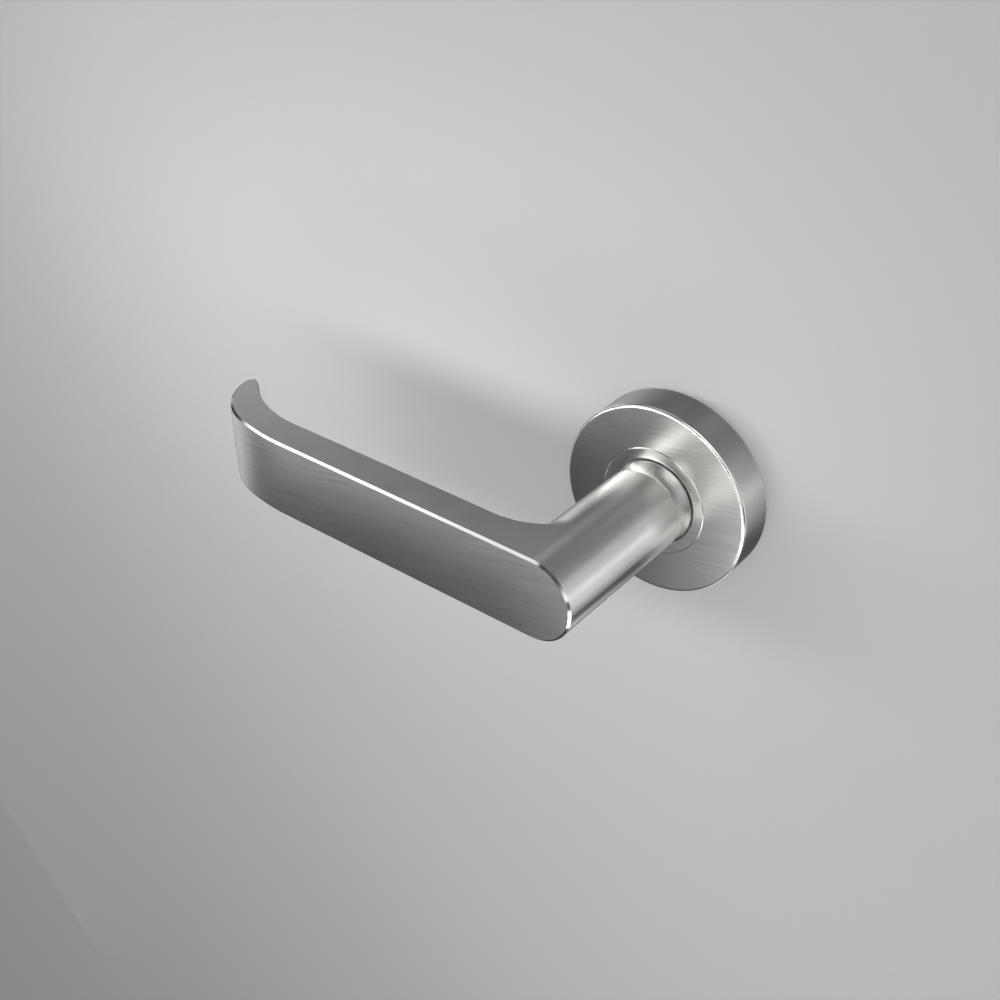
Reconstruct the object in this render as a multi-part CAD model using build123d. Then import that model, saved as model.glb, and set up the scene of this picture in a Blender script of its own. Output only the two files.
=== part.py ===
from build123d import *
import math
import os

os.makedirs("parts", exist_ok=True)

# Door lever handle on a round clip-on rose. All sizes in mm.
# Frame: the door surface is the plane y = 0, the origin is on the spindle axis,
# the user stands on the -Y side, the grip points to -X, +Z is up.
# The pieces are drawn lying down, with z as the distance out from the door and
# y as up, and are stood up into the frame when they are written.

# ---- rose cover and ring ----
rose_r = 26.0            # standard 52 mm rose
rose_t = 10.6            # how far the rose stands off the door
cover_wall = 1.2
cover_front = 1.2
cover_lift = 0.2         # the cover's rim stops just short of the door
cover_edge = 0.8         # polished round on the front edge
ring_r_out = 14.50
ring_r_in = 11.65
ring_seat_z = 9.0
ring_skirt_r_in = 12.85
ring_skirt_r_out = 13.55
ring_skirt_z = 8.0
ring_gap = 0.08          # sliding fit between cover hole and ring

# ---- lever ----
neck_r = 11.2            # neck inside and just in front of the rose
waist_r = 10.72          # shallow waist just in front of the rose
waist_z0, waist_z1, waist_z2 = 10.8, 13.5, 16.2
stem_r = 11.1            # round stem
grip_h = 11.1            # half height of the grip
grip_front = 61.4        # front face, out from the door
grip_t = 9.7             # thickness of the grip
grip_run = 80.0          # straight length of the grip from the axis
inner_fillet = 8.0       # concave corner from the stem to the grip's back
front_bevel = 0.55       # polished bevel around the front face
back_round = 0.5         # soft inner edges

# curled end in plan, as (x, distance from the door)
curl_outer = [(-80.0, 61.4), (-91.7, 60.2), (-97.2, 58.8), (-102.8, 56.0),
              (-106.7, 52.4), (-109.3, 48.1), (-110.5, 43.9)]
curl_inner = [(-108.4, 41.6), (-106.1, 43.0), (-103.7, 45.0), (-98.6, 48.3),
              (-93.8, 50.2), (-88.6, 51.4), (-80.0, 51.7)]

# ---- spigot, drive and retention ----
shoulder_z = 6.4
spigot_r = 8.6
spigot_flat = 7.2        # half distance across the two flats
spigot_end = 0.3
spindle_a = 8.0          # 8 mm square spindle
spindle_clear = 0.05
bore_depth = 38.0
spindle_front = 37.0
spindle_back = -74.0
grub_z = 22.0
grub_r = 3.0             # M6
circlip_z0, circlip_z1 = 0.75, 1.45
circlip_r_in, circlip_r_out = 8.02, 9.9
washer_z0, washer_z1 = 1.50, 1.80
washer_r = 10.6
driver_z0, driver_z1 = 1.85, 2.85
driver_r = 11.2
tab_r0, tab_r1 = 9.4, 11.2
tab_z = 4.7
tab_mid, tab_half = -90.0, 10.0
turn = 45.0              # travel of the lever
stop_gap = 1.8           # degrees left at each stop

# ---- inner rose ----
base_r = 24.5
base_t = 3.0
rim_r_in = 23.2
rim_z = 8.6
hub_r = 16.2
hub_z = 9.0
cavity_r = 14.2
cavity_z = 5.2
web_z = 6.0
web_bore = 9.0
bush_r = 12.8
bush_bore = 11.25
plate_t = 0.6            # cassette cover
plate_r = 15.0
plate_bore = 10.9
ear_r, ear_at = 2.4, 16.6
ear_angles = (60.0, 240.0)
bolt_x = 19.0            # 38 mm between the through-bolts
bolt_r = 2.0             # M4
bolt_hole_r = 2.15
bolt_boss_r = 5.2
bolt_seat_z = 6.2
bolt_head_r, bolt_head_t = 3.5, 2.4
bolt_end = -38.0
post_r, post_len = 3.9, 8.0
wood_z = 19.5
wood_r = 2.2

# ---- return spring ----
wire_r = 0.45
coil_r = 12.4
coil_turns = 2.125
leg_in_angle = 90.0
leg_z = 2.35
anchor_z = 4.65


def rod(r, z0, z1, x=0.0, y=0.0):
    return Pos(x, y, z0) * Cylinder(r, z1 - z0, align=(Align.CENTER, Align.CENTER, Align.MIN))


def ring(r0, r1, z0, z1):
    return rod(r1, z0, z1) - rod(r0, z0 - 1, z1 + 1)


def sector(r0, r1, z0, z1, a0, a1):
    """A piece of a ring between two angles."""
    p0 = (r0 * math.cos(math.radians(a0)), r0 * math.sin(math.radians(a0)))
    p1 = (r1 * math.cos(math.radians(a0)), r1 * math.sin(math.radians(a0)))
    p2 = (r1 * math.cos(math.radians(a1)), r1 * math.sin(math.radians(a1)))
    p3 = (r0 * math.cos(math.radians(a1)), r0 * math.sin(math.radians(a1)))
    am = math.radians((a0 + a1) / 2)
    w = Wire([
        Line((p0[0], p0[1], z0), (p1[0], p1[1], z0)),
        ThreePointArc((p1[0], p1[1], z0), (r1 * math.cos(am), r1 * math.sin(am), z0), (p2[0], p2[1], z0)),
        Line((p2[0], p2[1], z0), (p3[0], p3[1], z0)),
        ThreePointArc((p3[0], p3[1], z0), (r0 * math.cos(am), r0 * math.sin(am), z0), (p0[0], p0[1], z0)),
    ])
    return extrude(Face(w), amount=z1 - z0, dir=(0, 0, 1))


def double_d(r, flat, z0, z1):
    return rod(r, z0, z1) & Pos(0, 0, z0) * Box(3 * r, 2 * flat, z1 - z0, align=(Align.CENTER, Align.CENTER, Align.MIN))


def on_circle(angle, r):
    return r * math.cos(math.radians(angle)), r * math.sin(math.radians(angle))


def stand(shape):
    """From the lying drawing to the door frame: z out becomes -Y, y up becomes +Z."""
    return Rotation(90, 0, 0) * shape


def one(shape):
    solids = shape.solids()
    assert len(solids) == 1, len(solids)
    return solids[0]


def write(name, *solids):
    stood = [stand(s) for s in solids]
    out = stood[0] if len(stood) == 1 else Compound(children=stood)
    export_step(out, "parts/" + name + ".step")


# ================= lever body =================
def plan(p):
    return Vector(p[0], 0, p[1])


grip_back = grip_front - grip_t
grip_wire = Wire([
    Line(plan((0, grip_front)), plan(curl_outer[0])),
    Spline([plan(p) for p in curl_outer], tangents=[(-1, 0, 0), (-0.08, 0, -1)]),
    Line(plan(curl_outer[-1]), plan(curl_inner[0])),
    Spline([plan(p) for p in curl_inner], tangents=[(0.8, 0, 0.6), (1, 0, 0)]),
    Line(plan(curl_inner[-1]), plan((0, grip_back))),
    Line(plan((0, grip_back)), plan((0, grip_front))),
])
grip = extrude(Face(grip_wire), grip_h, both=True)
grip = one(grip)


def on_inner(e):
    """Edges along the grip's back and the inside of the curl."""
    c = e @ 0.5
    if abs(abs(c.Y) - grip_h) > 0.01:
        return False
    if abs(c.Z - grip_back) < 0.01:
        return True
    if c.X < -81 and e.length > 5:
        near_out = min(math.hypot(c.X - p[0], c.Z - p[1]) for p in curl_outer)
        near_in = min(math.hypot(c.X - p[0], c.Z - p[1]) for p in curl_inner)
        return near_in < near_out
    return False


def on_outer(e):
    """Edges around the front face and over the outside of the curl."""
    c = e @ 0.5
    if abs(c.Z - grip_front) < 0.01:
        return abs(abs(c.Y) - grip_h) < 0.01 or (c.X > 0 and abs(math.hypot(c.X, c.Y) - stem_r) < 0.05)
    return abs(abs(c.Y) - grip_h) < 0.01 and c.X < -81 and e.length > 5 and c.Z > grip_back - 1


# soft edges behind, then the stem, then the polished bevel around the front
grip = one(grip.fillet(back_round, [e for e in grip.edges() if on_inner(e)]))
lever = one(grip + rod(stem_r, 20.0, grip_front))
lever = one(lever.chamfer(front_bevel, None, [e for e in lever.edges() if on_outer(e)]))

# concave corner between the stem and the back of the grip, tangent to both
zc = grip_back - inner_fillet
re = stem_r + inner_fillet
c45 = inner_fillet * math.cos(math.radians(45))
flare_wire = Wire([
    Line((5, 0, zc), (stem_r, 0, zc)),
    ThreePointArc((stem_r, 0, zc), (re - c45, 0, zc + c45), (re, 0, grip_back)),
    Line((re, 0, grip_back), (re, 0, grip_back + 1)),
    Line((re, 0, grip_back + 1), (5, 0, grip_back + 1)),
    Line((5, 0, grip_back + 1), (5, 0, zc)),
])
flare = revolve(Face(flare_wire).rotate(Axis.Z, 90), Axis.Z, 180)
flare = flare & Box(60, 2 * grip_h, 80, align=(Align.MAX, Align.CENTER, Align.MIN))
lever = one(lever + flare)

# neck: running surface in the bush, shallow waist, then up into the stem
neck_wire = Wire([
    Line((0, 0, shoulder_z), (neck_r - 0.25, 0, shoulder_z)),
    Line((neck_r - 0.25, 0, shoulder_z), (neck_r, 0, shoulder_z + 0.25)),
    Line((neck_r, 0, shoulder_z + 0.25), (neck_r, 0, waist_z0)),
    ThreePointArc((neck_r, 0, waist_z0), (waist_r, 0, waist_z1), (stem_r, 0, waist_z2)),
    Line((stem_r, 0, waist_z2), (stem_r, 0, 20.0)),
    Line((stem_r, 0, 20.0), (0, 0, 20.0)),
    Line((0, 0, 20.0), (0, 0, shoulder_z)),
])
neck = revolve(Face(neck_wire), Axis.Z, 360)
lever = lever + neck
lever = lever + double_d(spigot_r, spigot_flat, spigot_end, shoulder_z + 0.5)
lever = lever - ring(circlip_r_in - 0.02, spigot_r + 1, circlip_z0 - 0.03, circlip_z1 + 0.03)
sq = spindle_a + 2 * spindle_clear
lever = lever - Pos(0, 0, spigot_end - 1) * Box(sq, sq, bore_depth - spigot_end + 1, align=(Align.CENTER, Align.CENTER, Align.MIN))
grub_hole = Pos(0, -3.5, grub_z) * Rotation(90, 0, 0) * Cylinder(grub_r, 12, align=(Align.CENTER, Align.CENTER, Align.MIN))
lever = lever - grub_hole
lever = one(lever)

# ================= spindle, grub screw =================
spindle = Pos(0, 0, spindle_back) * Box(spindle_a, spindle_a, spindle_front - spindle_back, align=(Align.CENTER, Align.CENTER, Align.MIN))
spindle = one(spindle)
ends = [e for e in spindle.edges() if abs((e @ 0.5).Z - spindle_front) < 0.01 or abs((e @ 0.5).Z - spindle_back) < 0.01]
spindle = one(spindle.chamfer(0.8, None, ends))

grub_len = 6.0
grub = Cylinder(grub_r - 0.03, grub_len, align=(Align.CENTER, Align.CENTER, Align.MIN))
grub = one(grub)
grub = one(grub.chamfer(0.5, None, grub.edges().filter_by(GeomType.CIRCLE)))
hexagon = extrude(RegularPolygon(3.0 / 2 / math.cos(math.radians(30)), 6), 3.0)
grub = one(grub - Pos(0, 0, grub_len - 3.0) * hexagon)
grub = Pos(0, -spindle_a / 2 - 0.02, grub_z) * Rotation(90, 0, 0) * grub

# ================= driver, washer, circlip =================
driver = rod(driver_r, driver_z0, driver_z1) - double_d(spigot_r + 0.05, spigot_flat + 0.05, driver_z0 - 1, driver_z1 + 1)
driver = driver + sector(tab_r0, tab_r1, driver_z1 - 0.4, tab_z, tab_mid - tab_half, tab_mid + tab_half)
notch_w = 2 * wire_r + 0.3
driver = driver - Rotation(0, 0, leg_in_angle) * Pos(10.0, 0, driver_z0 - 1) * Box(4, notch_w, 4, align=(Align.MIN, Align.CENTER, Align.MIN))
driver = one(driver)

washer = one(ring(spigot_r + 0.1, washer_r, washer_z0, washer_z1))

circlip = ring(circlip_r_in, circlip_r_out, circlip_z0, circlip_z1)
for s in (-1, 1):
    ex, ey = on_circle(-90 + s * 21, 9.3)
    circlip = circlip + rod(1.35, circlip_z0, circlip_z1, ex, ey)
circlip = circlip - sector(3.0, 14, circlip_z0 - 1, circlip_z1 + 1, -90 - 13, -90 + 13)
circlip = circlip - rod(circlip_r_in, circlip_z0 - 1, circlip_z1 + 1)
for s in (-1, 1):
    ex, ey = on_circle(-90 + s * 21, 9.35)
    circlip = circlip - rod(0.6, circlip_z0 - 1, circlip_z1 + 1, ex, ey)
circlip = one(circlip)

# ================= inner rose =================
rose = rod(base_r, 0, base_t) + rod(hub_r, 0, hub_z)
rose = rose + ring(rim_r_in, base_r, 0, rim_z)
for a in (30, 60, 120, 150, 210, 240, 300, 330):
    rose = rose + Rotation(0, 0, a) * Pos(15.0, 0, 1.0) * Box(8.8, 1.3, 6.6, align=(Align.MIN, Align.CENTER, Align.MIN))
for s in (-1, 1):
    rose = rose + rod(bolt_boss_r, 0, bolt_seat_z, s * bolt_x, 0)
    rose = rose + rod(post_r, -post_len, 1, s * bolt_x, 0)
rose = rose - rod(cavity_r, -1, cavity_z)
rose = rose - rod(plate_r + 0.05, -1, plate_t)
rose = rose - rod(web_bore, 0, hub_z + 1)
rose = rose - rod(bush_r, web_z, hub_z + 1)
rose = rose - rod(ring_skirt_r_out + 0.05, ring_skirt_z, hub_z + 1)
# stops for the driver's tab
rose = rose + sector(tab_r0 - 0.1, tab_r1 + 0.1, 3.4, cavity_z + 0.3, tab_mid - tab_half - stop_gap - 28, tab_mid - tab_half - stop_gap)
rose = rose + sector(tab_r0 - 0.1, tab_r1 + 0.1, 3.4, cavity_z + 0.3, tab_mid + turn + tab_half + stop_gap, tab_mid + turn + tab_half + stop_gap + 28)
# slot that anchors the spring's fixed leg
anchor_angle = leg_in_angle - coil_turns * 360.0
rose = rose - Rotation(0, 0, anchor_angle) * Pos(13.0, 0, -1) * Box(2.7, notch_w, 1 + anchor_z + wire_r + 0.1, align=(Align.MIN, Align.CENTER, Align.MIN))
for s in (-1, 1):
    rose = rose - rod(bolt_hole_r, -post_len - 1, hub_z, s * bolt_x, 0)
    rose = rose - rod(bolt_head_r + 0.6, bolt_seat_z, hub_z + 1, s * bolt_x, 0)
    rose = rose - rod(wood_r, -1, base_t + 1, 0, s * wood_z)
    rose = rose - Pos(0, s * wood_z, base_t - 1.6) * Cone(wood_r, wood_r + 1.7, 1.7, align=(Align.CENTER, Align.CENTER, Align.MIN))
ear_screw_r = 1.0
for a in ear_angles:
    ex, ey = on_circle(a, ear_at)
    rose = rose - rod(ear_r + 0.05, -1, plate_t, ex, ey)
    rose = rose - rod(ear_screw_r + 0.01, 0, 4.2, ex, ey)
# groove for the clip ring
clip_z = 5.2
clip_wire = 0.5
clip_r = base_r + 0.22 - clip_wire
rose = rose - ring(clip_r - clip_wire - 0.05, base_r + 1, clip_z - 0.6, clip_z + 0.6)
rose = one(rose)

# ================= bush, washer, ring =================
bush = one(ring(bush_bore, bush_r - 0.02, shoulder_z, ring_seat_z - 0.05))
thrust = one(ring(web_bore + 0.2, bush_r - 0.1, web_z, shoulder_z - 0.05))

neck_ring = ring(ring_r_in, ring_r_out, ring_seat_z, rose_t)
neck_ring = one(neck_ring)
top_edges = [e for e in neck_ring.edges().filter_by(GeomType.CIRCLE) if abs(e.center().Z - rose_t) < 0.01]
neck_ring = one(neck_ring.chamfer(0.15, None, top_edges))
neck_ring = one(neck_ring + ring(ring_skirt_r_in, ring_skirt_r_out, ring_skirt_z, ring_seat_z + 0.2))

# ================= cassette cover and its screws =================
plate = rod(plate_r, 0, plate_t)
for a in ear_angles:
    ex, ey = on_circle(a, ear_at)
    plate = plate + rod(ear_r, 0, plate_t, ex, ey)
plate = plate - rod(plate_bore, -1, 2)
ear_screws = []
for a in ear_angles:
    ex, ey = on_circle(a, ear_at)
    head = Pos(ex, ey, 0) * Cone(1.75, ear_screw_r, plate_t, align=(Align.CENTER, Align.CENTER, Align.MIN))
    plate = plate - Pos(ex, ey, 0) * Cone(1.77, ear_screw_r + 0.02, plate_t, align=(Align.CENTER, Align.CENTER, Align.MIN))
    plate = plate - rod(ear_screw_r + 0.02, -1, 2, ex, ey)
    s = head + rod(ear_screw_r, 0.3, 4.0, ex, ey)
    for t in (0, 90):
        s = s - Pos(ex, ey, 0) * Rotation(0, 0, t + a) * Box(1.9, 0.36, 0.8)
    ear_screws.append(one(s))
plate = one(plate)

# ================= through-bolts =================
bolts = []
for s in (-1, 1):
    b = rod(bolt_r, bolt_end, bolt_seat_z + 0.5, s * bolt_x, 0)
    h = one(rod(bolt_head_r, bolt_seat_z, bolt_seat_z + bolt_head_t, s * bolt_x, 0))
    h = one(h.fillet(0.8, [e for e in h.edges().filter_by(GeomType.CIRCLE) if e.center().Z > bolt_seat_z + 1]))
    b = b + h
    for t in (45, 135):
        b = b - Pos(s * bolt_x, 0, bolt_seat_z + bolt_head_t) * Rotation(0, 0, t) * Box(4.4, 0.9, 2.8)
    b = one(b)
    b = one(b.chamfer(0.5, None, [e for e in b.edges().filter_by(GeomType.CIRCLE) if abs(e.center().Z - bolt_end) < 0.01]))
    bolts.append(b)

# ================= clip ring =================
clip_path = CenterArc((0, 0, clip_z), clip_r, 90 + 14, 332)
sx, sy = on_circle(90 + 14, clip_r)
clip = sweep(Plane(origin=(sx, sy, clip_z), z_dir=(-sy, sx, 0)) * Circle(clip_wire), path=clip_path)
clip = one(clip)

# ================= return spring =================
spring_path = Helix(pitch=(anchor_z - leg_z) / coil_turns, height=anchor_z - leg_z, radius=coil_r,
                    center=(0, 0, leg_z), direction=(0, 0, 1), lefthand=True)
h0 = spring_path @ 0
t0 = spring_path % 0
coil = sweep(Plane(origin=h0, z_dir=t0) * Circle(wire_r), path=spring_path, is_frenet=True)
coil = Rotation(0, 0, leg_in_angle) * coil
leg_in = Rotation(0, 0, leg_in_angle) * Pos(10.15, 0, leg_z) * Rotation(0, 90, 0) * Cylinder(wire_r, coil_r - 10.15, align=(Align.CENTER, Align.CENTER, Align.MIN))
leg_out = Rotation(0, 0, anchor_angle) * Pos(coil_r, 0, anchor_z) * Rotation(0, 90, 0) * Cylinder(wire_r, 15.4 - coil_r, align=(Align.CENTER, Align.CENTER, Align.MIN))
ax, ay = on_circle(leg_in_angle, coil_r)
bx, by = on_circle(anchor_angle, coil_r)
spring = coil + leg_in + leg_out + Pos(ax, ay, leg_z) * Sphere(wire_r) + Pos(bx, by, anchor_z) * Sphere(wire_r)
spring = one(spring)

# ================= rose cover =================
cover = rod(rose_r, cover_lift, rose_t) - rod(rose_r - cover_wall, cover_lift - 1, rose_t - cover_front)
cover = cover - rod(ring_r_out + ring_gap, 0, rose_t + 1)
cover = one(cover)
rim_edge = [e for e in cover.edges().filter_by(GeomType.CIRCLE) if abs(e.center().Z - rose_t) < 0.01 and e.length > 150]
cover = one(cover.fillet(cover_edge, rim_edge))
hole_edge = [e for e in cover.edges().filter_by(GeomType.CIRCLE) if abs(e.center().Z - rose_t) < 0.01 and e.length < 100]
cover = one(cover.chamfer(0.15, None, hole_edge))

write("inner_rose", rose)
write("neck_ring", neck_ring)
write("bearing_bush", bush)
write("thrust_washer", thrust)
write("return_spring", spring)
write("cassette_cover", plate)
write("cassette_screws", *ear_screws)
write("fixing_screws", *bolts)
write("cover_clip_ring", clip)
write("rose_cover", cover)
write("lever_body", lever)
write("spindle", spindle)
write("grub_screw", grub)
write("spring_driver", driver)
write("retaining_washer", washer)
write("circlip", circlip)
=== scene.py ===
import math
import bmesh
import bpy
from mathutils import Matrix, Vector


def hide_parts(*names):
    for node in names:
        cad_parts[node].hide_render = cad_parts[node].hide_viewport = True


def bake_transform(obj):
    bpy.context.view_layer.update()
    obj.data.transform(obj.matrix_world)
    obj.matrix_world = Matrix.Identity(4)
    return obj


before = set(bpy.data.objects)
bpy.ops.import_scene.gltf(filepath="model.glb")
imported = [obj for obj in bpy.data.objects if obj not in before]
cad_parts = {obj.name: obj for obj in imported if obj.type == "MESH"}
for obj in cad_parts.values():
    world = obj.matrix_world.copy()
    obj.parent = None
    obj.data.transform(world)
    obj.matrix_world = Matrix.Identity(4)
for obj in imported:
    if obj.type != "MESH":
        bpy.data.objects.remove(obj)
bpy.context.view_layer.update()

MM = 0.001


# ------------------------------------------------------------------ material tools
def new_mat(name):
    m = bpy.data.materials.new(name)
    m.use_nodes = True
    nt = m.node_tree
    nt.nodes.clear()
    out = nt.nodes.new("ShaderNodeOutputMaterial")
    out.location = (900, 0)
    return m, nt, out


def link(nt, a, b):
    nt.links.new(a, b)


def math_node(nt, op, a, b=None, c=None, clamp=False):
    n = nt.nodes.new("ShaderNodeMath")
    n.operation = op
    n.use_clamp = clamp
    for i, v in enumerate((a, b, c)):
        if v is None:
            continue
        if isinstance(v, (int, float)):
            n.inputs[i].default_value = v
        else:
            link(nt, v, n.inputs[i])
    return n.outputs[0]


def ramp(nt, x, lo, hi, out_lo=0.0, out_hi=1.0, smooth=True):
    n = nt.nodes.new("ShaderNodeMapRange")
    n.interpolation_type = "SMOOTHSTEP" if smooth else "LINEAR"
    n.inputs["From Min"].default_value = lo
    n.inputs["From Max"].default_value = hi
    n.inputs["To Min"].default_value = out_lo
    n.inputs["To Max"].default_value = out_hi
    link(nt, x, n.inputs["Value"])
    return n.outputs["Result"]


def noise(nt, vec, scale, detail=3.0, rough=0.5, distortion=0.0):
    n = nt.nodes.new("ShaderNodeTexNoise")
    n.inputs["Scale"].default_value = scale
    n.inputs["Detail"].default_value = detail
    n.inputs["Roughness"].default_value = rough
    n.inputs["Distortion"].default_value = distortion
    link(nt, vec, n.inputs["Vector"])
    return n.outputs["Fac"]


def stretched(nt, coord, rot, scale):
    """Object coordinates turned and then stretched, so noise becomes streaks."""
    r = nt.nodes.new("ShaderNodeMapping")
    r.inputs["Rotation"].default_value = rot
    link(nt, coord, r.inputs["Vector"])
    s = nt.nodes.new("ShaderNodeMapping")
    s.inputs["Scale"].default_value = scale
    link(nt, r.outputs["Vector"], s.inputs["Vector"])
    return s.outputs["Vector"]


def mix_f(nt, fac, a, b):
    n = nt.nodes.new("ShaderNodeMix")
    n.data_type = "FLOAT"
    for sock, v in ((n.inputs[0], fac), (n.inputs[2], a), (n.inputs[3], b)):
        if isinstance(v, (int, float)):
            sock.default_value = v
        else:
            link(nt, v, sock)
    return n.outputs[0]


def mix_c(nt, fac, a, b):
    n = nt.nodes.new("ShaderNodeMix")
    n.data_type = "RGBA"
    if isinstance(fac, (int, float)):
        n.inputs[0].default_value = fac
    else:
        link(nt, fac, n.inputs[0])
    for sock, v in ((n.inputs[6], a), (n.inputs[7], b)):
        if isinstance(v, tuple):
            sock.default_value = v + (1.0,) if len(v) == 3 else v
        else:
            link(nt, v, sock)
    return n.outputs[2]


def bump(nt, height, strength, distance, normal=None):
    n = nt.nodes.new("ShaderNodeBump")
    n.inputs["Strength"].default_value = strength
    n.inputs["Distance"].default_value = distance
    link(nt, height, n.inputs["Height"])
    if normal is not None:
        link(nt, normal, n.inputs["Normal"])
    return n.outputs["Normal"]


def coords(nt):
    tc = nt.nodes.new("ShaderNodeTexCoord")
    return tc.outputs["Object"], tc.outputs["Normal"]


def xyz(nt, v):
    n = nt.nodes.new("ShaderNodeSeparateXYZ")
    link(nt, v, n.inputs[0])
    return n.outputs[0], n.outputs[1], n.outputs[2]


def principled(nt, out, metallic=1.0):
    b = nt.nodes.new("ShaderNodeBsdfPrincipled")
    b.inputs["Metallic"].default_value = metallic
    link(nt, b.outputs[0], out.inputs["Surface"])
    return b


def streak_set(nt, co, angle):
    """Hairline brushing on faces that look out from the door: fine lines, longer scratches and slow drift."""
    rot = (0.0, math.radians(angle), 0.0)
    fine = noise(nt, stretched(nt, co, rot, (75.0, 60.0, 3600.0)), 1.0, 2.0, 0.6)
    mid = noise(nt, stretched(nt, co, rot, (50.0, 30.0, 1500.0)), 1.0, 2.0, 0.55)
    slow = noise(nt, stretched(nt, co, rot, (30.0, 15.0, 420.0)), 1.0, 2.0, 0.5)
    return fine, mid, slow


# ------------------------------------------------------------------ stainless steel, brushed faces and satin sides
STEEL = (0.600, 0.592, 0.572)
STEEL_SATIN = (0.590, 0.588, 0.580)


def steel_body(name, kind):
    """One stainless piece: brushed where it looks out from the door, satin on its sides, polished on the bevel."""
    m, nt, out = new_mat(name)
    co, no = coords(nt)
    x, y, z = xyz(nt, co)
    nx, ny, nz = xyz(nt, no)
    b = principled(nt, out)

    # where the face is brushed
    facing = ramp(nt, ny, -0.90, -0.965, 0.0, 1.0)
    if kind == "lever":
        side = math_node(nt, "ABSOLUTE", nz)
        flat = ramp(nt, side, 0.35, 0.15, 0.0, 1.0)
        far = ramp(nt, x, -76 * MM, -79 * MM, 0.0, 1.0)
        outer = ramp(nt, ny, 0.35, 0.25, 0.0, 1.0)
        curl = math_node(nt, "MULTIPLY", math_node(nt, "MULTIPLY", flat, far), outer)
        brushed = math_node(nt, "MAXIMUM", facing, curl)
        # bevel: a narrow band of faces turned half way out
        band = math_node(nt, "MULTIPLY", ramp(nt, ny, -0.90, -0.84, 0.0, 1.0), ramp(nt, ny, -0.45, -0.55, 0.0, 1.0))
        front = ramp(nt, y, -60.5 * MM, -60.8 * MM, 0.0, 1.0)
        straight = math_node(nt, "MULTIPLY", band, front)
        tilt = math_node(nt, "MULTIPLY", ramp(nt, side, 0.45, 0.55, 0.0, 1.0), ramp(nt, side, 0.90, 0.84, 0.0, 1.0))
        curled = math_node(nt, "MULTIPLY", math_node(nt, "MULTIPLY", tilt, far), outer)
        bevel = math_node(nt, "MAXIMUM", straight, curled)
    else:
        brushed = facing
        bevel = math_node(nt, "MULTIPLY", ramp(nt, ny, -0.965, -0.90, 0.0, 1.0), ramp(nt, ny, -0.10, -0.30, 0.0, 1.0))

    fine, mid, slow = streak_set(nt, co, 12.0)
    streak = math_node(nt, "ADD", math_node(nt, "MULTIPLY", fine, 0.78), math_node(nt, "MULTIPLY", mid, 0.22))
    grain = noise(nt, co, 5200.0, 2.0, 0.6)
    cloud = noise(nt, co, 90.0, 3.0, 0.5)
    wipe = noise(nt, co, 260.0, 4.0, 0.6)

    # colour: streaks darken the brushed steel a little, the satin has only slow variation
    bc = mix_c(nt, ramp(nt, streak, 0.38, 0.62, 0.0, 1.0, False), (0.553, 0.547, 0.529), (0.640, 0.634, 0.616))
    bc = mix_c(nt, ramp(nt, slow, 0.45, 0.80, 0.0, 0.08), bc, (0.560, 0.548, 0.525))
    sc = mix_c(nt, ramp(nt, cloud, 0.30, 0.70, 0.0, 1.0), (0.560, 0.558, 0.552), (0.605, 0.603, 0.596))
    sc = mix_c(nt, ramp(nt, grain, 0.35, 0.65, 0.0, 0.5, False), sc, (0.540, 0.540, 0.536))
    col = mix_c(nt, brushed, sc, bc)
    col = mix_c(nt, bevel, col, (0.80, 0.80, 0.79))
    link(nt, col, b.inputs["Base Color"])

    br = math_node(nt, "ADD", ramp(nt, streak, 0.30, 0.70, *((0.272, 0.300) if kind == "lever" else (0.285, 0.320)), False), ramp(nt, wipe, 0.45, 0.75, 0.0, 0.02))
    sr = math_node(nt, "ADD", ramp(nt, grain, 0.30, 0.70, 0.295, 0.335, False), ramp(nt, wipe, 0.40, 0.75, 0.0, 0.03))
    rough = mix_f(nt, brushed, sr, br)
    rough = mix_f(nt, bevel, rough, 0.17 if kind == "lever" else 0.25)
    link(nt, rough, b.inputs["Roughness"])

    h_b = math_node(nt, "MULTIPLY", streak, brushed)
    h_s = math_node(nt, "MULTIPLY", grain, math_node(nt, "SUBTRACT", 1.0, brushed))
    plain = math_node(nt, "SUBTRACT", 1.0, bevel)
    n1 = bump(nt, math_node(nt, "MULTIPLY", h_b, plain), 0.06, 0.00004)
    n2 = bump(nt, math_node(nt, "MULTIPLY", h_s, plain), 0.16, 0.00003, n1)
    link(nt, n2, b.inputs["Normal"])
    return m


# ------------------------------------------------------------------ hidden hardware
def cast_zinc(name):
    m, nt, out = new_mat(name)
    co, no = coords(nt)
    b = principled(nt, out)
    g = noise(nt, co, 900.0, 4.0, 0.6)
    big = noise(nt, co, 120.0, 3.0, 0.55)
    flow = noise(nt, stretched(nt, co, (0.0, 0.6, 0.0), (60.0, 60.0, 300.0)), 1.0, 3.0, 0.5)
    c = mix_c(nt, ramp(nt, big, 0.3, 0.7), (0.42, 0.42, 0.425), (0.56, 0.56, 0.565))
    c = mix_c(nt, ramp(nt, flow, 0.45, 0.75, 0.0, 0.5), c, (0.36, 0.36, 0.37))
    link(nt, c, b.inputs["Base Color"])
    link(nt, ramp(nt, g, 0.25, 0.75, 0.42, 0.60), b.inputs["Roughness"])
    link(nt, bump(nt, g, 0.30, 0.00008), b.inputs["Normal"])
    return m


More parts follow.
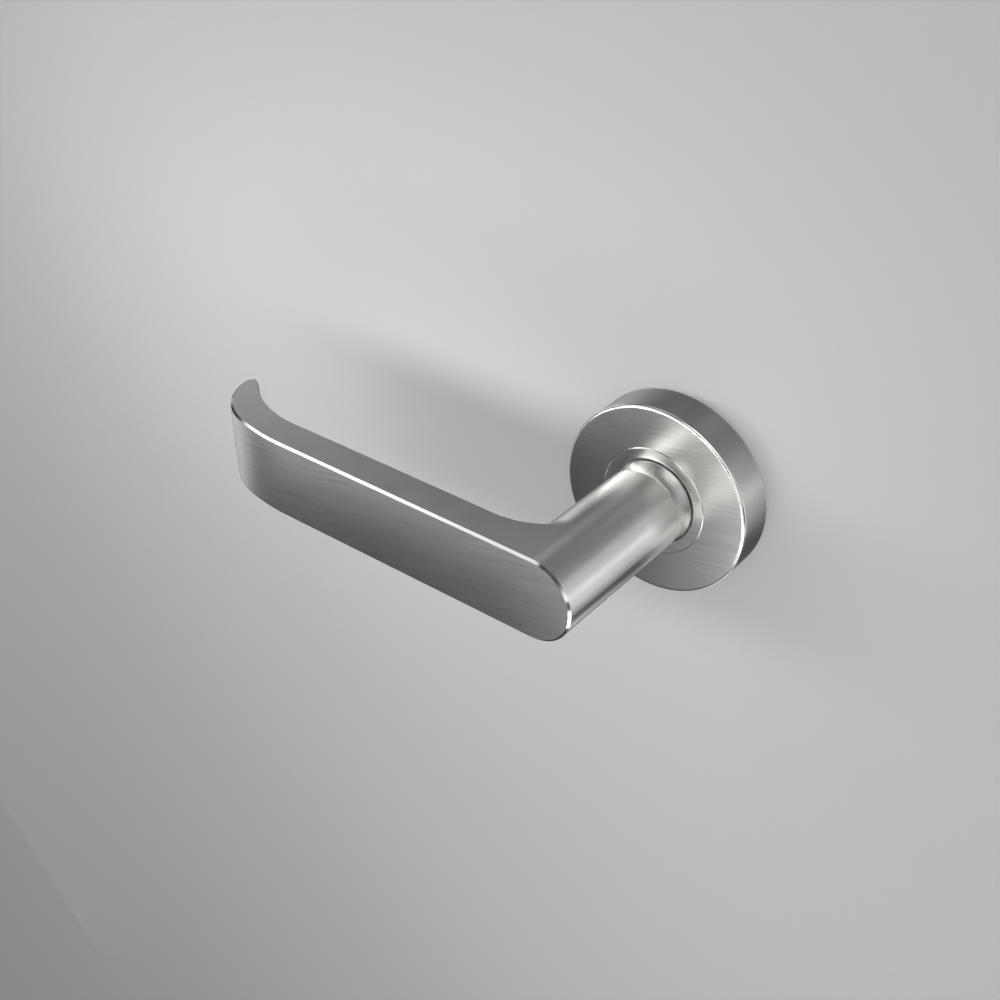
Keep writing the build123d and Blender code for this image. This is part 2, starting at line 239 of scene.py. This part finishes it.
def plated(name, tint=(0.70, 0.71, 0.73), rough=0.24):
    """Bright zinc plating with a faint blue-yellow drift, or bare steel when the tint says so."""
    m, nt, out = new_mat(name)
    co, no = coords(nt)
    b = principled(nt, out)
    n1 = noise(nt, co, 380.0, 3.0, 0.5)
    n2 = noise(nt, co, 2600.0, 3.0, 0.6)
    c = mix_c(nt, ramp(nt, n1, 0.3, 0.7), tint, tuple(min(1.0, t * k) for t, k in zip(tint, (0.92, 0.93, 1.0))))
    c = mix_c(nt, ramp(nt, n1, 0.55, 0.75, 0.0, 0.4), c, tuple(t * k for t, k in zip(tint, (1.02, 0.98, 0.86))))
    link(nt, c, b.inputs["Base Color"])
    link(nt, ramp(nt, n2, 0.25, 0.75, rough, rough + 0.10), b.inputs["Roughness"])
    link(nt, bump(nt, n2, 0.12, 0.00004), b.inputs["Normal"])
    return m


def drawn_steel(name):
    """Cold-drawn bar: fine lines along its length, a few darker rubs."""
    m, nt, out = new_mat(name)
    co, no = coords(nt)
    b = principled(nt, out)
    lines = noise(nt, stretched(nt, co, (0, 0, 0), (2600.0, 40.0, 2600.0)), 1.0, 3.0, 0.6)
    rub = noise(nt, co, 140.0, 4.0, 0.6)
    c = mix_c(nt, ramp(nt, lines, 0.3, 0.7), (0.40, 0.40, 0.405), (0.54, 0.54, 0.545))
    c = mix_c(nt, ramp(nt, rub, 0.50, 0.70, 0.0, 0.5), c, (0.30, 0.295, 0.29))
    link(nt, c, b.inputs["Base Color"])
    link(nt, ramp(nt, lines, 0.25, 0.75, 0.28, 0.42), b.inputs["Roughness"])
    link(nt, bump(nt, lines, 0.25, 0.00005), b.inputs["Normal"])
    return m


def spring_steel(name, dark=(0.16, 0.16, 0.17)):
    m, nt, out = new_mat(name)
    co, no = coords(nt)
    b = principled(nt, out)
    n1 = noise(nt, co, 700.0, 3.0, 0.55)
    c = mix_c(nt, ramp(nt, n1, 0.3, 0.7), dark, tuple(d * 1.7 for d in dark))
    link(nt, c, b.inputs["Base Color"])
    link(nt, ramp(nt, n1, 0.25, 0.75, 0.28, 0.42), b.inputs["Roughness"])
    link(nt, bump(nt, n1, 0.15, 0.00004), b.inputs["Normal"])
    return m


def nylon(name):
    m, nt, out = new_mat(name)
    co, no = coords(nt)
    b = principled(nt, out, 0.0)
    b.inputs["Subsurface Weight"].default_value = 0.1
    b.inputs["Subsurface Radius"].default_value = (0.0006, 0.0005, 0.0004)
    n1 = noise(nt, co, 1500.0, 3.0, 0.55)
    n2 = noise(nt, co, 160.0, 3.0, 0.5)
    c = mix_c(nt, ramp(nt, n2, 0.3, 0.7), (0.74, 0.73, 0.69), (0.80, 0.79, 0.75))
    link(nt, c, b.inputs["Base Color"])
    link(nt, ramp(nt, n1, 0.25, 0.75, 0.42, 0.55), b.inputs["Roughness"])
    link(nt, bump(nt, n1, 0.2, 0.00003), b.inputs["Normal"])
    return m


def assign(node, mat):
    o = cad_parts[node]
    if not o.material_slots:
        o.data.materials.append(mat)
    for s in o.material_slots:
        s.material = mat


m_lever = steel_body("stainless_lever_mat", "lever")
m_rose = steel_body("stainless_rose_mat", "rose")
m_zinc = cast_zinc("zinc_die_cast_mat")
m_plate = plated("zinc_plated_mat")
m_bar = drawn_steel("drawn_bar_mat")
m_spring = spring_steel("spring_steel_mat")
m_black = spring_steel("black_oxide_mat", (0.045, 0.045, 0.048))
m_nylon = nylon("nylon_mat")

assign("lever_body", m_lever)
assign("rose_cover", m_rose)
assign("neck_ring", m_rose)
assign("inner_rose", m_zinc)
assign("bearing_bush", m_nylon)
assign("thrust_washer", m_nylon)
assign("cassette_cover", m_plate)
assign("cassette_screws", m_plate)
assign("fixing_screws", m_plate)
assign("cover_clip_ring", m_spring)
assign("spindle", m_bar)
assign("grub_screw", m_black)
assign("spring_driver", m_plate)
assign("retaining_washer", m_plate)
assign("circlip", m_spring)
assign("return_spring", m_spring)


# ------------------------------------------------------------------ new pieces
def mesh_object(name, verts, faces, mat, smooth=True):
    me = bpy.data.meshes.new(name)
    me.from_pydata([tuple(v) for v in verts], [], faces)
    me.validate()
    me.update()
    if smooth:
        for p in me.polygons:
            p.use_smooth = True
    o = bpy.data.objects.new(name, me)
    bpy.context.scene.collection.objects.link(o)
    me.materials.append(mat)
    return o


def tube(path, radius, sides=16, cap=True):
    """A round wire along a list of points, with a frame carried along it and flat caps on its ends when cap is set.
    """
    pts = [Vector(p) for p in path]
    n = len(pts)
    tans = []
    for i in range(n):
        a = pts[max(i - 1, 0)]
        b = pts[min(i + 1, n - 1)]
        tans.append((b - a).normalized())
    ref = Vector((0, 1, 0))
    if abs(tans[0].dot(ref)) > 0.9:
        ref = Vector((1, 0, 0))
    u = (ref - tans[0] * ref.dot(tans[0])).normalized()
    verts, faces = [], []
    for i in range(n):
        t = tans[i]
        u = (u - t * u.dot(t)).normalized()
        w = t.cross(u)
        for k in range(sides):
            a = 2 * math.pi * k / sides
            verts.append(pts[i] + (u * math.cos(a) + w * math.sin(a)) * radius)
    for i in range(n - 1):
        for k in range(sides):
            k2 = (k + 1) % sides
            faces.append((i * sides + k, i * sides + k2, (i + 1) * sides + k2, (i + 1) * sides + k))
    if cap:
        faces.append(tuple(reversed(range(sides))))
        faces.append(tuple((n - 1) * sides + k for k in range(sides)))
    return verts, faces


# return spring: the CAD coil drawn as one smooth wire, with bent legs
WIRE = 0.45
COIL = 12.4
TURNS = 2.125
Y_LEG, Y_ANCHOR = 2.35, 4.65
A_IN = 90.0


def polar(a, r, d):
    return Vector((r * math.cos(math.radians(a)), -d, r * math.sin(math.radians(a)))) * MM


path = []
for r in (10.15, 10.5, 10.9, 11.25):
    path.append(polar(A_IN, r, Y_LEG))
# the bend from the inner leg into the coil
steps = 150
for i in range(steps + 1):
    t = i / steps
    a = A_IN - t * TURNS * 360.0
    bend_in = min(1.0, (t * TURNS * 360.0) / 7.0)
    bend_out = min(1.0, ((1 - t) * TURNS * 360.0) / 7.0)
    r = COIL
    if bend_in < 1.0:
        r = COIL - 0.45 * (1 - bend_in) ** 2
    if bend_out < 1.0:
        r = COIL + 0.45 * (1 - bend_out) ** 2
    path.append(polar(a, r, Y_LEG + (Y_ANCHOR - Y_LEG) * t))
a_end = A_IN - TURNS * 360.0
for r in (13.3, 13.9, 14.6, 15.35):
    path.append(polar(a_end, r, Y_ANCHOR))
v, f = tube(path, WIRE * MM, 14)
spring = mesh_object("return_spring_wire", v, f, m_spring)
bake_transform(spring)
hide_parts("return_spring")

# ------------------------------------------------------------------ stage
def plain(name, colour, rough, glow=0.30):
    m, nt, out = new_mat(name)
    b = principled(nt, out, 0.0)
    co, no = coords(nt)
    n1 = noise(nt, co, 6.0, 2.0, 0.5)
    c = mix_c(nt, ramp(nt, n1, 0.3, 0.7), colour, tuple(v * 0.985 for v in colour))
    link(nt, c, b.inputs["Base Color"])
    b.inputs["Roughness"].default_value = rough
    b.inputs["Specular IOR Level"].default_value = 0.2
    b.inputs["Emission Color"].default_value = (1.0, 1.0, 1.0, 1.0)
    b.inputs["Emission Strength"].default_value = glow
    return m, nt, out, b


def sheet_mesh(name, corners, mat):
    o = mesh_object(name, corners, [(0, 1, 2, 3)], mat, False)
    return o


m_floor, _, _, _ = plain("stage_floor_mat", (0.72, 0.72, 0.72), 0.6)
floor = sheet_mesh("stage_floor", [(-5, -5, -0.80), (5, -5, -0.80), (5, 5, -0.80), (-5, 5, -0.80)], m_floor)
floor.visible_glossy = False
floor.visible_diffuse = False

# a pale surround far behind everything, seen only by the eye and not by the metal
m_sky, _, _, _ = plain("stage_surround_mat", (0.30, 0.30, 0.30), 0.8, 0.46)
S = 5.0
surround = mesh_object("stage_surround", [(x, y, z) for x in (-S, S) for y in (-S, S) for z in (-0.82, S)],
                       [(0, 1, 3, 2), (4, 6, 7, 5), (0, 4, 5, 1), (2, 3, 7, 6), (1, 5, 7, 3)], m_sky, False)
surround.visible_glossy = False
surround.visible_diffuse = False
surround.visible_shadow = False
surround.visible_transmission = False

# a plain pale panel where the door would be, seen from the front only
m_wall, nt, out, wb = plain("stage_panel_mat", (0.25, 0.25, 0.25), 0.7, 0.22)
geo = nt.nodes.new("ShaderNodeNewGeometry")
clear = nt.nodes.new("ShaderNodeBsdfTransparent")
mixs = nt.nodes.new("ShaderNodeMixShader")
link(nt, geo.outputs["Backfacing"], mixs.inputs[0])
link(nt, wb.outputs[0], mixs.inputs[1])
link(nt, clear.outputs[0], mixs.inputs[2])
link(nt, mixs.outputs[0], out.inputs["Surface"])
W = 0.0002
panel = sheet_mesh("stage_panel", [(-2.60, W, -0.80), (1.40, W, -0.80), (1.40, W, 1.20), (-2.60, W, 1.20)], m_wall)
panel.visible_glossy = False
panel.visible_diffuse = False
panel.visible_shadow = False
panel.visible_transmission = False

# ------------------------------------------------------------------ light
world = bpy.data.worlds.new("studio")
bpy.context.scene.world = world
world.use_nodes = True
wnt = world.node_tree
wnt.nodes.clear()
wo = wnt.nodes.new("ShaderNodeOutputWorld")
bg = wnt.nodes.new("ShaderNodeBackground")
wtc = wnt.nodes.new("ShaderNodeTexCoord")


def toward(d, lo, hi):
    dot = wnt.nodes.new("ShaderNodeVectorMath")
    dot.operation = "DOT_PRODUCT"
    link(wnt, wtc.outputs["Generated"], dot.inputs[0])
    dot.inputs[1].default_value = Vector(d).normalized()
    return ramp(wnt, dot.outputs["Value"], lo, hi)


sky = mix_c(wnt, toward((-0.62, -0.55, -0.58), 0.55, 0.97), (0.032, 0.032, 0.0322), (0.020, 0.020, 0.0201))
link(wnt, sky, bg.inputs["Color"])
bg.inputs["Strength"].default_value = 1.0
link(wnt, bg.outputs[0], wo.inputs["Surface"])


def area(name, place, aim, size, power, colour=(1, 1, 1), size_y=None):
    li = bpy.data.lights.new(name, "AREA")
    li.energy = power
    li.color = colour
    li.size = size
    if size_y:
        li.shape = "RECTANGLE"
        li.size_y = size_y
    o = bpy.data.objects.new(name, li)
    o.location = place
    o.rotation_euler = (Vector(aim) - Vector(place)).to_track_quat("-Z", "Y").to_euler()
    o.visible_camera = False
    bpy.context.scene.collection.objects.link(o)
    return o


AIM = Vector((-0.04, -0.03, 0.0))
# soft cards on a ring about the handle: bearing from +X and height in degrees, then watts
CARDS = [
    (330, -40, 0.75),
    (315, 60, 0.84),
    (240, 10, 0.61),
    (300, -15, 0.41),
    (30, -15, 0.36),
    (330, 35, 0.36),
    (210, 35, 0.35),
    (150, 10, 0.35),
    (330, 10, 0.35),
    (30, 10, 0.30),
    (60, -65, 0.30),
    (135, 60, 0.22),
    (240, 35, 0.20),
    (180, -15, 0.17),
    (120, 10, 0.08),
    (120, -15, 0.07),
    (30, 35, 0.07),
    (60, 35, 0.07),
    (90, 60, 0.05),
    (180, -40, 0.05),
    (210, -15, 0.04),
    (90, 35, 0.03),
]
for i, (bearing, height, watts) in enumerate(CARDS):
    a, h = math.radians(bearing), math.radians(height)
    out_dir = Vector((math.cos(a) * math.cos(h), math.sin(a) * math.cos(h), math.sin(h)))
    size = 0.26 if height == 35 and 200 < bearing < 250 else 0.32
    area("card_%02d" % i, AIM + out_dir * 0.55, AIM, size, watts)
# small cards close in: place, aim, width, height, watts
CLOSE = [
    ((-0.11, -0.13, 0.02), (-0.11, 0, 0.02), 0.26, 0.02, 0.2400),
    ((0.0, -0.27, -0.16), (0.0, 0, -0.16), 0.1, 0.08, 0.2386),
    ((-0.11, -0.13, -0.04), (-0.11, 0, -0.04), 0.26, 0.02, 0.0104),
]
for i, (place, aim, wide, high, watts) in enumerate(CLOSE):
    area("close_card_%02d" % i, place, aim, wide, watts, size_y=high)

# ------------------------------------------------------------------ camera
cam_data = bpy.data.cameras.new("camera")
cam = bpy.data.objects.new("camera", cam_data)
bpy.context.scene.collection.objects.link(cam)
cam_data.sensor_width = 36.0
cam_data.lens = 48.454
cam_data.clip_start = 0.01
target = Vector((-56.978, 0.0, -29.09)) * MM
az, el, dist = math.radians(38.249), math.radians(33.941), 388.833 * MM
back = Vector((math.sin(az) * math.cos(el), -math.cos(az) * math.cos(el), math.sin(el)))
cam.location = target + back * dist
cam.rotation_euler = (-back).to_track_quat("-Z", "Y").to_euler()
bpy.context.scene.camera = cam
bpy.context.scene.view_settings.view_transform = "Standard"
